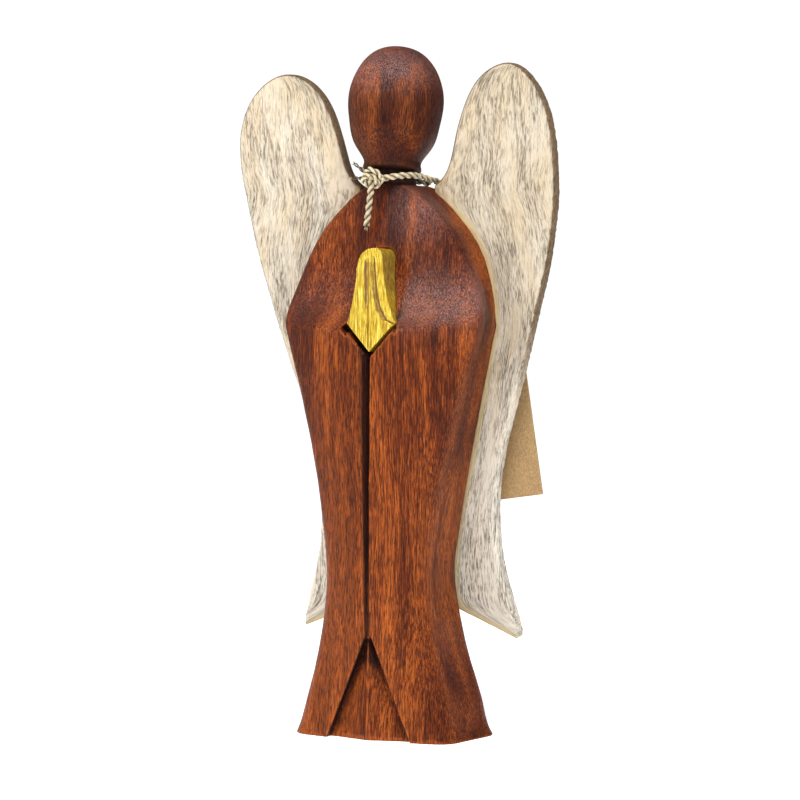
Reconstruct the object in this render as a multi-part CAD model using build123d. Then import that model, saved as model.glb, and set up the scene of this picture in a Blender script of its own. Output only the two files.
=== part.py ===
from build123d import *
import math
import os

# A free-standing carved angel: one shaped block (robe, arms, neck and head), a gilded pair of
# praying hands let into its front, two wing boards housed in rebates along the rear sides and
# pegged with dowels, and a length of twine round the neck that carries a card tag at the back.
# Millimetres. +Z is up, the figure faces -Y, the neck's axis stands over the origin.

# ---- driving sizes ---------------------------------------------------------------------------
total_height = 300.0

# block, lower half: the hem (z = 0), the waist and the elbow ledge
waist_z = 70.0
ledge_z = 178.0
hem_front, hem_rear = -31.0, 22.0
hem_ridge_x, hem_ridge_y, hem_side_x, hem_rear_x = 36.6, -27.0, 45.6, 29.0
waist_front, waist_rear = -30.0, 21.0
waist_ridge_x, waist_ridge_y, waist_side_x, waist_rear_x = 24.0, -23.0, 25.0, 20.0
ledge_front, ledge_rear = -28.5, 18.0
elbow_ridge_x, elbow_ridge_y, elbow_side_x, elbow_rear_x = 46.5, -18.0, 45.5, 38.0
hem_ridge_power = 1.8
hem_side_power = 1.38
ridge_flare_power = 1.6
side_flare_power = 1.15

# neck and head
neck_radius = 9.6
neck_y = -2.0
neck_foot_z = 239.0
head_radius = 21.0
head_widest_below_top = 23.5
head_height = 56.0
head_tilt = 8.0

# carving on the front
groove_width, groove_depth = 3.9, 5.0
groove_foot_width, groove_foot_depth = 1.5, 2.8
groove_right_x = 0.4
fold_top_z = 46.4
fold_half_width = 19.5
fold_depth = 5.0
fold_ridge_inset = 0.4

# praying hands
hands_tip_z, hands_wide_z, hands_top_z = 166.5, 178.8, 211.5
hands_half_width, hands_finger_half_width = 11.3, 5.9
hands_front, hands_back = -29.0, -11.0
hands_bevel = 0.18
glue_gap = 0.12
recess_left, recess_right, recess_drop = 0.9, 3.4, 2.6
recess_floor = -21.0

# wing boards: the free edge of each hand-cut board, from its top inner corner over the top and
# down to the tip, as distance outside the elbow's side and drop below the top
wing_thickness = 8.0
wing_edge_round = 2.2
wing_lean = 4.1
wing_mid_z, wing_mid_y = 167.0, 6.2
wing_top_z = 290.6
wing_foot_z, wing_shoulder_z = 53.6, 239.5
wing_inner_edge = [(-22.0, 44.4), (-19.6, 37.4), (-17.4, 28.8), (-14.0, 18.4), (-8.0, 7.8), (0.4, 1.5)]
wing_outer_edge = {
    "left": [(8.6, 0.1), (17.6, 6.6), (25.0, 21.0), (27.2, 33.6), (28.0, 52.0), (25.2, 78.5),
             (19.0, 104.0), (11.6, 130.5), (4.8, 154.0), (-0.8, 175.0), (-2.7, 196.0), (-1.6, 215.0),
             (1.8, 230.0), (6.2, 246.0)],
    "right": [(8.0, 0.0), (19.0, 4.0), (28.0, 14.0), (32.2, 27.5), (32.0, 42.0), (28.6, 62.5),
              (24.2, 83.0), (16.6, 109.5), (9.4, 133.0), (3.0, 152.0), (-1.8, 173.0), (-2.6, 196.0),
              (-0.4, 216.0), (3.6, 231.0), (7.2, 245.0)]}
wing_tip = {"left": (5.9, 250.4), "right": (7.0, 249.4)}
rebate_foot_z = 47.0
housing_depth = 2.6
housing_foot_depth = 5.2
housing_even_z = 130.0

# dowels between wing edge and block
dowel_radius, dowel_half_length = 1.6, 9.0
dowel_fit = 0.05
dowel_end_gap = 0.5
dowel_heights = {"lower": 118.0, "upper": 190.0}

# twine and tag
twine_diameter = 2.8
tail_diameter = 3.2
knot_size = (5.0, 3.4, 4.4)
knot_centre = (-3.2, -17.0, 241.4)
tag_width, tag_height, tag_thickness = 50.0, 90.0, 0.9
tag_corner_cut = 6.0
tag_hole_radius, tag_hole_drop = 3.0, 7.0
tag_tilt = 8.5
tag_hole_at = (23.0, 23.8, 182.4)
nape_pivot = (12.0, 15.9, 238.0)
strand_spacing = 5.2
strand_reach = 3.2


# ---- the block -------------------------------------------------------------------------------
def level(z, front, rear, ridge, side, rear_x, rounds):
    """A level cut through the block: bowed front, two soft ridges, sides, narrower flat back."""
    ridge_x, ridge_y = ridge
    side_x, side_y = side
    with BuildSketch(Plane.XY.offset(z)) as cut:
        with BuildLine():
            ThreePointArc((-ridge_x, ridge_y), (0, front), (ridge_x, ridge_y))
            Polyline((ridge_x, ridge_y), (side_x, side_y), (rear_x, rear),
                     (-rear_x, rear), (-side_x, side_y), (-ridge_x, ridge_y))
        make_face()
        for (corner_x, corner_y), radius in zip((ridge, side, (rear_x, rear)), rounds):
            corners = [v for v in cut.vertices()
                       if abs(abs(v.X) - corner_x) < 1e-5 and abs(v.Y - corner_y) < 1e-5]
            fillet(corners, radius)
    return cut.sketch


def mix(low, high, share):
    return low + (high - low) * share


def flare(z):
    """Share of the way from the waist to the hem or the ledge, for the ridges and the sides."""
    if z < waist_z:
        run = (waist_z - z) / waist_z
        return run ** hem_ridge_power, run ** hem_side_power
    run = (z - waist_z) / (ledge_z - waist_z)
    return run ** ridge_flare_power, run ** side_flare_power


def lower_sizes(z):
    """Front, rear, ridge, side and rear half-width of the robe between hem and ledge."""
    ridge_share, side_share = flare(z)
    if z < waist_z:
        end = (hem_front, hem_rear, hem_ridge_x, hem_ridge_y, hem_side_x, hem_rear_x)
    else:
        end = (ledge_front, ledge_rear, elbow_ridge_x, elbow_ridge_y, elbow_side_x, elbow_rear_x)
    shares = (ridge_share, side_share, ridge_share, ridge_share, side_share, side_share)
    waist = (waist_front, waist_rear, waist_ridge_x, waist_ridge_y, waist_side_x, waist_rear_x)
    front, rear, ridge_x, ridge_y, side_x, rear_x = (
        mix(low, high, share) for low, high, share in zip(waist, end, shares))
    return front, rear, (ridge_x, ridge_y), (side_x, 5.0), rear_x


def lower_rounds(z):
    ridge_share, side_share = flare(z)
    if z < waist_z:
        return mix(8.0, 10.0, ridge_share), mix(6.0, 10.0, side_share), mix(4.0, 8.0, side_share)
    return mix(8.0, 3.5, ridge_share), mix(6.0, 3.0, side_share), 4.0


# levels above the ledge: share of the rise from ledge to neck foot, front, rear, ridge inset
# from the elbow ridge, ridge y, side inset from the elbow side, rear half-width, roundings
rise = neck_foot_z - ledge_z
upper_levels = [
    (0.09, -23.0, 17.7, 0.1, -16.2, 0.3, 37.5, (3.5, 3.0, 4.0)),
    (0.23, -18.2, 17.2, 2.5, -13.9, 1.1, 36.5, (4.0, 3.0, 4.0)),
    (0.38, -15.6, 16.5, 6.2, -13.0, 2.9, 35.0, (5.0, 3.0, 4.0)),
    (0.53, -14.3, 15.8, 10.6, -12.6, 5.8, 32.5, (5.0, 3.0, 4.0)),
    (0.68, -13.5, 15.0, 16.4, -12.2, 11.0, 28.5, (5.0, 3.0, 4.0)),
    (0.82, -12.9, 13.8, 23.9, -11.6, 17.8, 22.5, (5.0, 3.0, 4.0)),
    (0.935, -12.4, 12.6, 31.5, -10.8, 24.8, 17.5, (5.0, 3.0, 4.0)),
    (1.0, -12.0, 11.4, 37.6, -9.6, 33.0, 9.0, (4.0, 3.0, 4.0)),
]


def upper_sizes(entry):
    share, front, rear, ridge_in, ridge_y, side_in, rear_x, rounds = entry
    z = ledge_z + share * rise
    ridge = (elbow_ridge_x - ridge_in, ridge_y)
    side = (elbow_side_x - side_in, 4.0)
    return z, front, rear, ridge, side, rear_x, rounds


def side_points():
    """Half-width of the block's side against height, from the waist to the neck's foot."""
    lower = [(lower_sizes(z)[3][0], z) for z in (62.0, 84.0, 104.0, 124.0, 144.0, 162.0, 176.0)]
    upper = [(upper_sizes(entry)[4][0], upper_sizes(entry)[0]) for entry in upper_levels[1:-1]]
    return lower + upper


def egg_head():
    """The featureless head: an egg on its small end, tipped so that the chin comes forward."""
    widest = -head_widest_below_top
    with BuildPart() as egg:
        with BuildSketch(Plane.XZ):
            with BuildLine():
                Spline((0, 0), (head_radius * 0.70, -6.5), (head_radius, widest),
                       (head_radius * 0.94, widest - 10.5), (head_radius * 0.80, widest - 20.5),
                       (head_radius * 0.59, widest - 28.0), (0, -head_height),
                       tangents=[(1, 0), (-1, 0)])
                Line((0, -head_height), (0, 0))
            make_face()
        revolve(axis=Axis.Z)
    centred = egg.part.moved(Location((0, 0, head_widest_below_top)))
    tipped = centred.rotate(Axis.X, -head_tilt)
    return tipped.moved(Location((0, 0, total_height - head_widest_below_top)))


def centre_groove():
    """The line between the two sleeves and robe halves: a kerf whose left wall leans open."""
    kerfs = []
    for z, width, depth in ((fold_top_z - 1.0, groove_foot_width, groove_foot_depth),
                            (hands_tip_z - 1.0, groove_width, groove_depth)):
        front = lower_sizes(z)[0]
        proud = 3.0
        right = groove_right_x
        left = right - width * (depth + proud) / depth
        kerf = Polyline((right, front - proud), (right, front + depth), (left, front - proud), close=True)
        kerfs.append(make_face(kerf).moved(Location((0, 0, z))))
    return loft(kerfs)


def hem_fold(side):
    """One half of the inset panel at the hem: deep at its edge, shallow at its middle ridge."""
    faces = []
    for z, half in ((-1.0, fold_half_width * (fold_top_z + 1.0) / fold_top_z), (fold_top_z, 0.3)):
        front = lower_sizes(max(z, 0.0))[0]
        quad = Polyline((0, front - 5.0), (side * half, front - 5.0),
                        (side * half, front + fold_depth), (0, front + fold_ridge_inset), close=True)
        faces.append(make_face(quad).moved(Location((0, 0, z))))
    return loft(faces)


def hands_outline(gap=0.0):
    """Front view of the joined hands: a kite with drawn-out fingers, grown by a gap."""
    wide = (hands_half_width + gap, hands_wide_z)
    waist = (hands_finger_half_width + 1.7 + gap, mix(hands_wide_z, hands_top_z, 0.40))
    finger = (hands_finger_half_width + gap, hands_top_z - 4.5)
    top = (0, hands_top_z + gap)
    tip = (0, hands_tip_z - gap * 1.5)
    with BuildSketch(Plane.XZ) as outline:
        with BuildLine() as half:
            Line(tip, wide)
            Spline(wide, waist, finger)
            Spline(finger, (hands_finger_half_width * 0.72, hands_top_z - 1.0 + gap), top,
                   tangents=[half.edges()[-1] % 1, (-1, 0)])
            Line(top, tip)
        make_face()
        mirror(about=Plane.YZ)
    return outline.sketch


def between(outline, y_front, y_back):
    """Solid of a front-view outline between two depths."""
    return extrude(outline.moved(Location((0, y_back, 0))), y_back - y_front, dir=(0, -1, 0))


def praying_hands():
    blank = between(hands_outline(), hands_front, hands_back)
    reach = hands_half_width + 4.0
    roof = Polyline((-reach, hands_front + reach * hands_bevel), (0, hands_front),
                    (reach, hands_front + reach * hands_bevel), (reach, hands_back + 2),
                    (-reach, hands_back + 2), close=True)
    wedge = extrude(make_face(roof).moved(Location((0, 0, hands_tip_z - 2))),
                    hands_top_z - hands_tip_z + 4)
    return blank & wedge


def hands_pocket():
    """The socket for the hands, and the dark notch that opens round their lower half."""
    socket = between(hands_outline(glue_gap), -40.0, hands_back + glue_gap)
    palm = hands_half_width
    notch = Polyline((-palm - recess_right, hands_wide_z), (0, hands_tip_z - recess_drop),
                     (palm + recess_left, hands_wide_z - 1.0), (palm - 1.0, hands_wide_z + 4.0),
                     (1.0 - palm, hands_wide_z + 4.0), close=True)
    notch_face = make_face(notch.rotate(Axis.X, 90))
    return socket + between(notch_face, -40.0, recess_floor)


# ---- wings -----------------------------------------------------------------------------------
def lean(shape):
    """Tips a board from the upright plane y = 0 to its leaning place behind the robe."""
    tipped = shape.moved(Location((0, 0, -wing_mid_z))).rotate(Axis.X, wing_lean)
    return tipped.moved(Location((0, wing_mid_y, wing_mid_z)))


def inner_edge(gap=0.0):
    """Curve of the wing's housed edge, or of the rebate wall when a gap is given."""
    points = []
    for x, z in side_points():
        low_share = max(0.0, (housing_even_z - z) / (housing_even_z - waist_z))
        points.append((x - gap - mix(housing_depth, housing_foot_depth, min(1.0, low_share)), z))
    foot = (points[0][0], wing_foot_z)
    shoulder = (points[-1][0] - 0.6, wing_shoulder_z)
    return [foot] + points[1:] + [shoulder]


def wing_board(side, hand):
    """One wing: a rounded blade, broad beside the head and drawn to a point near the hem."""
    housed = inner_edge()
    foot, shoulder = housed[0], housed[-1]
    free = [(elbow_side_x + out, wing_top_z - drop) for out, drop in wing_inner_edge + wing_outer_edge[hand]]
    tip = (elbow_side_x + wing_tip[hand][0], wing_top_z - wing_tip[hand][1])
    with BuildPart() as board:
        with BuildSketch(Plane.XZ):
            with BuildLine():
                Spline(*housed)
                Spline(shoulder, *free)
                Line(free[-1], tip)
                Line(tip, foot)
            make_face()
        extrude(amount=-wing_thickness)
        rims = board.edges().filter_by(lambda e: abs(e.bounding_box().size.Y) < 1e-4)
        free_rims = [e for e in rims if e.bounding_box().max.Z > wing_top_z - wing_edge_round]
        fillet(free_rims, wing_edge_round)
    blade = board.part if side > 0 else board.part.mirror(Plane.YZ)
    return lean(blade)


def rebate(side):
    """What is cut from the block's rear side to house a wing, open to the back."""
    wall = inner_edge(glue_gap)
    foot = (wall[0][0], rebate_foot_z)
    top = (wall[-1][0], neck_foot_z + 6.0)
    outside = elbow_side_x + 20.0
    with BuildPart() as cutter:
        with BuildSketch(Plane.XZ.offset(glue_gap)):
            with BuildLine():
                Spline(*wall)
                Polyline(wall[-1], top, (outside, top[1]), (outside, foot[1]), foot, wall[0])
            make_face()
        extrude(amount=-45.0)
    block = cutter.part if side > 0 else cutter.part.mirror(Plane.YZ)
    return lean(block)


def dowel_centre(height):
    """Where a dowel crosses the housed edge, in the upright board: on the board's mid-plane."""
    points = inner_edge()
    for (x0, z0), (x1, z1) in zip(points, points[1:]):
        if z0 <= height <= z1:
            return mix(x0, x1, (height - z0) / (z1 - z0)), wing_thickness / 2, height
    raise ValueError("a dowel stands off the housed edge")


def dowel(side, height, radius, half_length):
    x, y, z = dowel_centre(height)
    peg = Cylinder(radius, 2 * half_length, rotation=(0, 90, 0)).moved(Location((side * x, y, z)))
    return lean(peg)


# ---- twine and tag ---------------------------------------------------------------------------
def run_length(points, i):
    return (Vector(*points[i + 1]) - Vector(*points[i])).length


def arc_radii(points):
    """Arc radius at each corner: 0.45 of the shorter run over the tangent of half the turn."""
    radii = []
    for i in range(1, len(points) - 1):
        back = Vector(*points[i]) - Vector(*points[i - 1])
        ahead = Vector(*points[i + 1]) - Vector(*points[i])
        half_turn = math.radians(back.get_angle(ahead)) / 2
        radii.append(0.45 * min(run_length(points, i - 1), run_length(points, i)) / math.tan(half_turn))
    return radii


def twine(name, points, diameter):
    """A plain tube of straight runs joined by tangent arcs."""
    radii = arc_radii(points)
    path = FilletPolyline(*points, radius=radii)
    tube = sweep(Plane(path @ 0, z_dir=path % 0) * Circle(diameter / 2), path=path)
    section = math.pi * diameter ** 2 / 4
    print(name, "length", round(path.length, 1), "volume ratio", round(tube.volume / (section * path.length), 3),
          "arc radii", [round(r, 1) for r in radii])
    return tube


def knot():
    return scale(Sphere(1.0), by=knot_size).moved(Location(knot_centre))


# routes, hand laid: round the neck, over the shoulders beside the wings, to the nape
left_route = [(-5.0, -15.8, 241.8), (-10.9, -10.2, 242.6), (-12.4, -1.4, 242.9), (-9.9, 6.0, 242.5),
              (-3.4, 10.2, 242.1), (3.6, 10.9, 241.8), (8.4, 12.4, 241.6), (9.4, 14.5, 240.3)]
right_route = [(-1.2, -16.0, 241.0), (4.6, -14.6, 242.2), (10.4, -9.4, 243.0), (12.7, -2.2, 242.9),
               (14.8, 4.4, 241.5), (15.8, 10.4, 241.4), (14.6, 14.5, 240.3)]
tail_route = [(-3.6, -17.6, 239.0), (-4.8, -17.6, 230.0), (-6.4, -17.0, 221.2)]
end_routes = [[(-6.8, -16.4, 243.4), (-9.4, -16.8, 246.2), (-12.6, -16.2, 248.4)],
              [(-7.2, -16.4, 240.8), (-10.2, -17.0, 242.0), (-13.4, -16.4, 241.8)]]


def tag_route():
    """Down from the nape, through the tag's hole from front to back, and up again."""
    hole_x, hole_y, hole_z = tag_hole_at
    pivot_x, pivot_y, pivot_z = nape_pivot
    near, far = hole_y - strand_reach, hole_y + strand_reach
    half = strand_spacing / 2
    turn_drop = 1.9 * strand_reach
    return [(pivot_x - half, pivot_y, pivot_z), (pivot_x + 0.6, pivot_y + 2.6, pivot_z - 20.0),
            (hole_x - 5.4, near - 0.9, hole_z + 18.0), (hole_x, near, hole_z + turn_drop),
            (hole_x, near, hole_z), (hole_x, far, hole_z),
            (hole_x, far, hole_z + turn_drop), (hole_x - 2.6, far - 0.8, hole_z + 17.0),
            (pivot_x + 5.6, pivot_y + 6.0, pivot_z - 20.0), (pivot_x + half, pivot_y, pivot_z)]


def tag_twine():
    """The doubled strand from nape to tag; each top end is round, about the nape's hinge line."""
    route = tag_route()
    ends = [Sphere(twine_diameter / 2).moved(Location(point)) for point in (route[0], route[-1])]
    return twine("tag_twine", route, twine_diameter) + ends[0] + ends[1]


def card_tag():
    """A plain card tag with clipped upper corners, hanging a little aslant."""
    half, hole_to_top = tag_width / 2, tag_hole_drop
    bottom = hole_to_top - tag_height
    clip = tag_corner_cut
    with BuildPart() as card:
        with BuildSketch(Plane.XZ):
            with BuildLine():
                Polyline((-half, bottom), (half, bottom), (half, hole_to_top - clip), (half - clip, hole_to_top),
                         (clip - half, hole_to_top), (-half, hole_to_top - clip), close=True)
            make_face()
            Circle(tag_hole_radius, mode=Mode.SUBTRACT)
        extrude(amount=tag_thickness / 2, both=True)
    return card.part.rotate(Axis.Y, -tag_tilt).moved(Location(tag_hole_at))


# heights at which the robe is drawn, close enough together to hold its flare
lower_steps, upper_steps = 5, 8
lower_heights = [waist_z * i / lower_steps for i in range(lower_steps)]
lower_heights += [mix(waist_z, ledge_z, i / upper_steps) for i in range(upper_steps + 1)]

# ---- build -----------------------------------------------------------------------------------
parts = {}

robe = loft([level(z, *lower_sizes(z), lower_rounds(z))
             for z in lower_heights])
crown = [level(ledge_z, *lower_sizes(ledge_z), lower_rounds(ledge_z))]
crown += [level(*upper_sizes(entry)) for entry in upper_levels]
shoulders = loft(crown)
neck = Cylinder(neck_radius, 20.0).moved(Location((0, neck_y, neck_foot_z + 8.0)))
figure = robe + shoulders + neck + egg_head()
figure -= hem_fold(-1)
figure -= hem_fold(1)
figure -= centre_groove()
figure -= hands_pocket()

parts["praying_hands"] = praying_hands()
for side, hand in ((1, "left"), (-1, "right")):
    wing = wing_board(side, hand)
    figure -= rebate(side)
    for place, height in dowel_heights.items():
        bore = dowel(side, height, dowel_radius + dowel_fit, dowel_half_length + dowel_end_gap)
        wing -= bore
        figure -= bore
        parts[f"{hand}_wing_{place}_dowel"] = dowel(side, height, dowel_radius, dowel_half_length)
    parts[f"{hand}_wing"] = wing
parts["carved_figure"] = figure

parts["twine_knot"] = knot()
parts["twine_left"] = twine("twine_left", left_route, twine_diameter) - knot()
parts["twine_right"] = twine("twine_right", right_route, twine_diameter) - knot()
parts["twine_tail"] = twine("twine_tail", tail_route, tail_diameter) - knot()
frays = [twine("twine_end", route, twine_diameter * 0.7) - knot() for route in end_routes]
parts["twine_ends"] = Compound(children=frays)
parts["tag_twine"] = tag_twine()
parts["card_tag"] = card_tag()

os.makedirs("parts", exist_ok=True)
for name, shape in parts.items():
    export_step(shape, f"parts/{name}.step")
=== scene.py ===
"""Looks of a carved wooden angel: stained robe block, gilded hands, whitewashed wings, twine and tag."""
import math

import bpy
import numpy as np
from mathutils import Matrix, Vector, noise


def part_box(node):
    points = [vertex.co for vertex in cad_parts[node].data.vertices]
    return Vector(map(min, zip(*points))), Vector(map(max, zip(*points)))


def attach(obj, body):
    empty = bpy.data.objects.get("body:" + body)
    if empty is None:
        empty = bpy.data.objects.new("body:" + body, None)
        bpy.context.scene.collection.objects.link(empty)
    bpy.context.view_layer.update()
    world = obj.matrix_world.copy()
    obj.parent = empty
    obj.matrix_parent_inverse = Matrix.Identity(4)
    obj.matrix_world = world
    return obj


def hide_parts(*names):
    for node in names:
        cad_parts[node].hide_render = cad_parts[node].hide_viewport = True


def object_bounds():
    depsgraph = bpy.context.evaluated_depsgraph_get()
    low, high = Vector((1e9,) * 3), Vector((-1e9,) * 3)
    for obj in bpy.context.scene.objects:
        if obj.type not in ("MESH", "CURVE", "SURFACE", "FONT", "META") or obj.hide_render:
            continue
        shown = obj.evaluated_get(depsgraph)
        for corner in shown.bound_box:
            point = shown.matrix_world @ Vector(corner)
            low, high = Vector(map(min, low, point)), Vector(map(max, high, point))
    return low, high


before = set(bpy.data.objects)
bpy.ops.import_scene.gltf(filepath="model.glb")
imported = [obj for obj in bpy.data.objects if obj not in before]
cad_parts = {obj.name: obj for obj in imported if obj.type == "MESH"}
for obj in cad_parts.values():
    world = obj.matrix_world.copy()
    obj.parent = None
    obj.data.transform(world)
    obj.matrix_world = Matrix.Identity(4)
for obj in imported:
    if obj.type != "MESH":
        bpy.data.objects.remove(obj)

CAD_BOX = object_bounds()
MM = 0.001
BLOCK_TRIANGLES = 180000
WING_LEAN = math.radians(4.1)

# places on the carved block: heights over its foot, reaches from its middle, and how far forward
LEDGE_OVER_HANDS = 11.5 * MM
NECK_HEIGHT, FACE_HEIGHT, CROWN_HEIGHT = 243 * MM, 266 * MM, 291 * MM
SHOULDER_HEIGHT, SLEEVE_HEIGHT, RECESS_HEIGHT = 226 * MM, 189 * MM, 163 * MM
GROOVE_FOOT, GROOVE_TOP = 44 * MM, 170 * MM
PANEL_TOP, PANEL_REACH = 48 * MM, 21 * MM
RECESS_REACH, RECESS_FLOOR = 17 * MM, -24.5 * MM

# the fold down the figure's left hand: share of the hands' height, and its place across them
FOLD_RISE = (0.0, 0.25, 0.30, 0.40, 0.52, 0.80, 1.0)
FOLD_REACH = (12.0 * MM, 11.4 * MM, 7.2 * MM, 4.8 * MM, 3.3 * MM, 2.2 * MM, 2.2 * MM)

# tints inside one finish
# the third colour here is the near-black of the painted shade under the chin, in the groove, in the notch and
# beside the panel, and of the face's darker stain
PORE_STAIN, LINE_STAIN, PAINTED_SHADE_AND_STAIN = (0.024, 0.005, 0.003), (0.020, 0.005, 0.004), (0.010, 0.003, 0.003)
# the third colour here is a browner wash towards the wings' tops
WARM_WASH, THIN_WASH, BROWNER_TOP_WASH = (0.64, 0.50, 0.32), (0.40, 0.34, 0.27), (0.47, 0.39, 0.27)
# the first colour here is painted light: a paler wash on the wings' lower parts, where the body and lamps
# leave them darker
LOW_PAINTED_LIGHT, HAIRLINE, SPLINTER = (0.98, 0.92, 0.80), (0.20, 0.155, 0.11), (0.060, 0.030, 0.012)
# the second colour here is the dark brown of spots at the top of each wing's housed edge
SIZED_EDGE, INNER_CORNER_BROWN = (0.72, 0.55, 0.25), (0.30, 0.17, 0.05)
DULL_GOLD, BRIGHT_GOLD = (0.34, 0.15, 0.012), (0.98, 0.82, 0.16)
# the third colour here is painted shade in the creases between the twine's plies
DARK_STRAW, PALE_STRAW, STRAW_CREASE_SHADE = (0.200, 0.135, 0.065), (0.86, 0.78, 0.58), (0.050, 0.030, 0.015)
CARD_FLECK = (0.14, 0.075, 0.030)

# the stage
FLOOR_SIZE, FLOOR_GREY = 8.0, (0.85, 0.85, 0.85, 1.0)
ROOM_GLOW, BACKDROP = (0.19, 0.19, 0.20), (1.05, 1.05, 1.05)
CAMERA_TURN, CAMERA_DISTANCE, CAMERA_HEIGHT = math.radians(24.0), 0.980, 0.170
CAMERA_LENS, CAMERA_TARGET = 100.4, (0.0016, 0.0007, 0.1453)
LAMP_TARGET = (0.0, 0.0, 0.16)

bl_info = {
    "name": "Carved angel",
    "version": (1, 0),
    "blender": (4, 5, 0),
    "location": "3D View > Sidebar > Angel",
    "description": "Finishes the carved angel's block, hands, wings, twine and tag around its CAD frame",
    "category": "Object",
}


# ---- sizes and colours a user would change ---------------------------------------------------
def length(name, text, default):
    return bpy.props.FloatProperty(name=name, description=text, default=default, unit="LENGTH",
                                   precision=5, min=0.0)


def colour(name, text, default):
    return bpy.props.FloatVectorProperty(name=name, description=text, default=default,
                                         subtype="COLOR", size=3, min=0.0, max=1.0)


class AngelSizes(bpy.types.PropertyGroup):
    figure_grid: length("Block grid", "Spacing of the block's carved surface", 0.52 * MM)
    wing_grid: length("Wing grid", "Spacing of the wings' surface", 0.62 * MM)
    hands_grid: length("Hands grid", "Spacing of the hands' surface", 0.34 * MM)
    hand_sway: length("Hand sway", "How far the carver's hand strays from a true surface", 0.26 * MM)
    ledge_dip: length("Ledge dip", "How far the elbow ledge sinks towards the hands", 3.2 * MM)
    edge_notch: length("Edge notch", "Depth of the rasp marks along the wings' free edge", 0.34 * MM)
    seam_depth: length("Seam depth", "Depth of the line between the two palms", 0.9 * MM)
    twine_diameter: length("Twine diameter", "Across the two twisted plies", 2.8 * MM)
    twine_pitch: length("Twine pitch", "Length of one full twist of the plies", 7.2 * MM)


class AngelColours(bpy.types.PropertyGroup):
    stain_dark: colour("Dark stain", "Stain in the dense grain", (0.034, 0.006, 0.003))
    stain_mid: colour("Mid stain", "Stain over most of the block", (0.178, 0.033, 0.006))
    # the light stain also paints a highlight along the block's ridges, through the edge mask
    stain_light: colour("Light stain", "Stain on the pale grain and rubbed edges", (0.460, 0.108, 0.017))
    # a painted sheen: grey laid into the wood's colour on upward faces, where highlights fall
    painted_sheen: colour("Painted sheen", "Grey bloom on the upward faces of the stained block", (0.330, 0.230, 0.235))
    wash: colour("Whitewash", "Cream wash on the wings", (0.700, 0.632, 0.515))
    wash_streak: colour("Bare streak", "Grey-brown grain that shows through the wash", (0.105, 0.078, 0.056))
    wash_edge: colour("Rubbed edge", "Yellow-brown wood along the wings' edges", (0.180, 0.100, 0.036))
    gold: colour("Gold", "Gold paint on the hands", (0.630, 0.425, 0.020))
    gold_wear: colour("Worn gold", "Brown wood under the gold", (0.130, 0.045, 0.012))
    straw: colour("Twine", "Pale straw of the twine", (0.640, 0.530, 0.340))
    kraft: colour("Card", "Brown kraft card", (0.455, 0.295, 0.140))
    dowel: colour("Dowel", "Plain dowel wood", (0.560, 0.380, 0.190))


# ---- mesh helpers ----------------------------------------------------------------------------
def select_only(obj):
    bpy.ops.object.select_all(action="DESELECT")
    obj.select_set(True)
    bpy.context.view_layer.objects.active = obj


def merged_copy(node, name):
    """A copy of a CAD node's mesh, with its loose triangles joined into one skin."""
    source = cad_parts[node]
    obj = bpy.data.objects.new(name, source.data.copy())
    obj.data.name = name
    obj.data.materials.clear()
    bpy.context.collection.objects.link(obj)
    select_only(obj)
    bpy.ops.object.mode_set(mode="EDIT")
    bpy.ops.mesh.select_all(action="SELECT")
    bpy.ops.mesh.remove_doubles(threshold=0.002 * MM)
    bpy.ops.object.mode_set(mode="OBJECT")
    for layer in [a.name for a in obj.data.attributes if a.name.startswith("UV")]:
        obj.data.attributes.remove(obj.data.attributes[layer])
    return obj


def apply_modifier(obj, kind, **settings):
    select_only(obj)
    modifier = obj.modifiers.new(kind.title(), kind)
    for key, value in settings.items():
        setattr(modifier, key, value)
    bpy.ops.object.modifier_apply(modifier=modifier.name)


def carve_skin(obj, grid, softening):
    """Turns a CAD skin into an even, slightly softened carved surface."""
    apply_modifier(obj, "REMESH", mode="VOXEL", voxel_size=grid, use_smooth_shade=True)
    apply_modifier(obj, "SMOOTH", factor=0.5, iterations=softening)


def thin_out(obj, triangles):
    """Fewer faces, kept where the carving needs them."""
    count = sum(len(face.vertices) - 2 for face in obj.data.polygons)
    apply_modifier(obj, "DECIMATE", ratio=min(1.0, triangles / count))
    select_only(obj)
    bpy.ops.object.shade_smooth()


def read_points(obj):
    flat = np.empty(len(obj.data.vertices) * 3)
    obj.data.vertices.foreach_get("co", flat)
    return flat.reshape(-1, 3)


def read_normals(obj):
    flat = np.empty(len(obj.data.vertices) * 3)
    obj.data.vertices.foreach_get("normal", flat)
    return flat.reshape(-1, 3)


def write_points(obj, points):
    obj.data.vertices.foreach_set("co", points.ravel())
    obj.data.update()


def add_mask(obj, name, values):
    layer = obj.data.attributes.new(name, "FLOAT", "POINT")
    layer.data.foreach_set("value", np.ascontiguousarray(values, dtype=np.float32))


def softened(obj, points, rounds):
    """Points pulled towards their neighbours, to tell edges from hollows."""
    pairs = np.empty(len(obj.data.edges) * 2, dtype=np.int64)
    obj.data.edges.foreach_get("vertices", pairs)
    first, second = pairs.reshape(-1, 2).T
    count = len(points)
    degree = np.bincount(first, minlength=count) + np.bincount(second, minlength=count)
    result = points.copy()
    for _ in range(rounds):
        for axis in range(3):
            total = (np.bincount(first, result[second, axis], count)
                     + np.bincount(second, result[first, axis], count))
            result[:, axis] = 0.5 * result[:, axis] + 0.5 * total / degree
    return result


def mark_relief(obj, rounds, full):
    """Masks for light edges and dark hollows, from how far each point stands proud of its surroundings. On
    the block the edge mask is rubbed wear and a painted highlight on ridges, and the hollow mask is painted
    shade; on the hands the hollow mask browns the gold, partly wear and partly painted shade.
    """
    points = read_points(obj)
    proud = ((points - softened(obj, points, rounds)) * read_normals(obj)).sum(1)
    add_mask(obj, "edge", np.clip(proud / full, 0, 1))
    add_mask(obj, "hollow_shade_and_wear", np.clip(-proud / full, 0, 1))


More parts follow.
